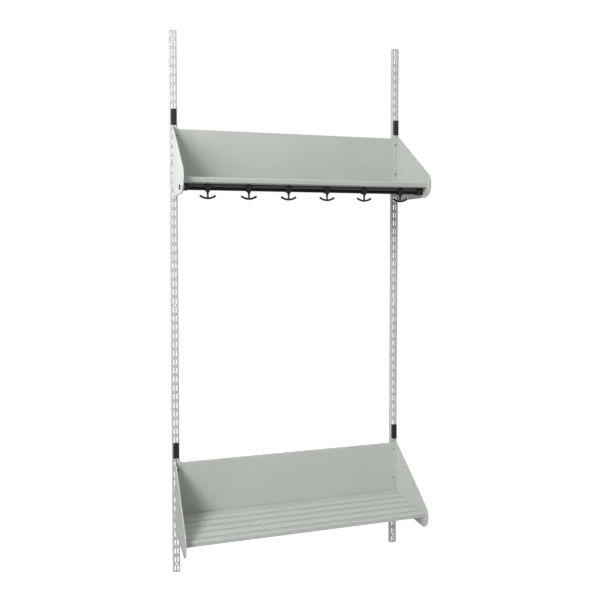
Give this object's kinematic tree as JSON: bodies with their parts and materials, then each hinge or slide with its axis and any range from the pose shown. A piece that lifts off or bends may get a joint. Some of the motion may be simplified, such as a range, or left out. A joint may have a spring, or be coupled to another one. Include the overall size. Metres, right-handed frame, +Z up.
{
  "type": "childrens cloakroom unit",
  "caption": "Wall-hung childrens cloakroom unit: slotted uprights, an upper and a lower pressed sheet shelf with folded gables and back plates, and a rail of swivelling anchor hooks",
  "frame": {"origin": "on the wall plane, midway between the two uprights and level with their lower ends", "axes": "+Z up along the uprights, the front faces -Y, +X to the right for someone facing the unit"},
  "size_m": [0.9, 0.3129, 1.984],
  "materials": {
    "upright_paint": "light grey powder coat, satin",
    "shelf_paint": "grey-green powder coat, satin",
    "rail_plastic": "black extruded plastic, satin",
    "black_plastic": "black moulded plastic, matt",
    "dark_steel": "dark screw heads",
    "bright_steel": "plain screw heads"
  },
  "bodies": {
    "frame": {"left_upright": "upright_paint", "right_upright": "upright_paint", "upper_left_gable": "shelf_paint", "upper_right_gable": "shelf_paint", "upper_back_plate": "shelf_paint", "upper_shelf_panel": "shelf_paint", "lower_left_gable": "shelf_paint", "lower_right_gable": "shelf_paint", "lower_back_plate": "shelf_paint", "lower_shelf_panel": "shelf_paint", "hook_rail": "rail_plastic", "left_rail_end_bracket": "black_plastic", "right_rail_end_bracket": "black_plastic", "upper_left_lock_clip": "black_plastic", "upper_right_lock_clip": "black_plastic", "lower_left_lock_clip": "black_plastic", "lower_right_lock_clip": "black_plastic", "upper_left_top_plate_screw": "dark_steel", "upper_left_bottom_plate_screw": "dark_steel", "upper_right_top_plate_screw": "dark_steel", "upper_right_bottom_plate_screw": "dark_steel", "lower_left_top_plate_screw": "dark_steel", "lower_left_bottom_plate_screw": "dark_steel", "lower_right_top_plate_screw": "dark_steel", "lower_right_bottom_plate_screw": "dark_steel", "left_bracket_screw": "bright_steel", "right_bracket_screw": "bright_steel"},
    "carrier_1": {"hook_carrier_1": "black_plastic"},
    "hook_1": {"anchor_hook_1": "black_plastic"},
    "carrier_2": {"hook_carrier_2": "black_plastic"},
    "hook_2": {"anchor_hook_2": "black_plastic"},
    "carrier_3": {"hook_carrier_3": "black_plastic"},
    "hook_3": {"anchor_hook_3": "black_plastic"},
    "carrier_4": {"hook_carrier_4": "black_plastic"},
    "hook_4": {"anchor_hook_4": "black_plastic"},
    "carrier_5": {"hook_carrier_5": "black_plastic"},
    "hook_5": {"anchor_hook_5": "black_plastic"},
    "carrier_6": {"hook_carrier_6": "black_plastic"},
    "hook_6": {"anchor_hook_6": "black_plastic"}
  },
  "joints": [
    {"name": "carrier_1_slide", "type": "slide", "parent": "frame", "child": "carrier_1", "axis": [1, 0, 0], "range_m": [-0.04, 0.04]},
    {"name": "hook_1_swivel", "type": "hinge", "parent": "carrier_1", "child": "hook_1", "pos_m": [-0.35125, -0.246, 1.384], "axis": [0, 0, 1], "continuous": true},
    {"name": "carrier_2_slide", "type": "slide", "parent": "frame", "child": "carrier_2", "axis": [1, 0, 0], "range_m": [-0.04, 0.04]},
    {"name": "hook_2_swivel", "type": "hinge", "parent": "carrier_2", "child": "hook_2", "pos_m": [-0.21075, -0.246, 1.384], "axis": [0, 0, 1], "continuous": true},
    {"name": "carrier_3_slide", "type": "slide", "parent": "frame", "child": "carrier_3", "axis": [1, 0, 0], "range_m": [-0.04, 0.04]},
    {"name": "hook_3_swivel", "type": "hinge", "parent": "carrier_3", "child": "hook_3", "pos_m": [-0.07025, -0.246, 1.384], "axis": [0, 0, 1], "continuous": true},
    {"name": "carrier_4_slide", "type": "slide", "parent": "frame", "child": "carrier_4", "axis": [1, 0, 0], "range_m": [-0.04, 0.04]},
    {"name": "hook_4_swivel", "type": "hinge", "parent": "carrier_4", "child": "hook_4", "pos_m": [0.07025, -0.246, 1.384], "axis": [0, 0, 1], "continuous": true},
    {"name": "carrier_5_slide", "type": "slide", "parent": "frame", "child": "carrier_5", "axis": [1, 0, 0], "range_m": [-0.04, 0.04]},
    {"name": "hook_5_swivel", "type": "hinge", "parent": "carrier_5", "child": "hook_5", "pos_m": [0.21075, -0.246, 1.384], "axis": [0, 0, 1], "continuous": true},
    {"name": "carrier_6_slide", "type": "slide", "parent": "frame", "child": "carrier_6", "axis": [1, 0, 0], "range_m": [-0.04, 0.04]},
    {"name": "hook_6_swivel", "type": "hinge", "parent": "carrier_6", "child": "hook_6", "pos_m": [0.35125, -0.246, 1.384], "axis": [0, 0, 1], "continuous": true}
  ]
}
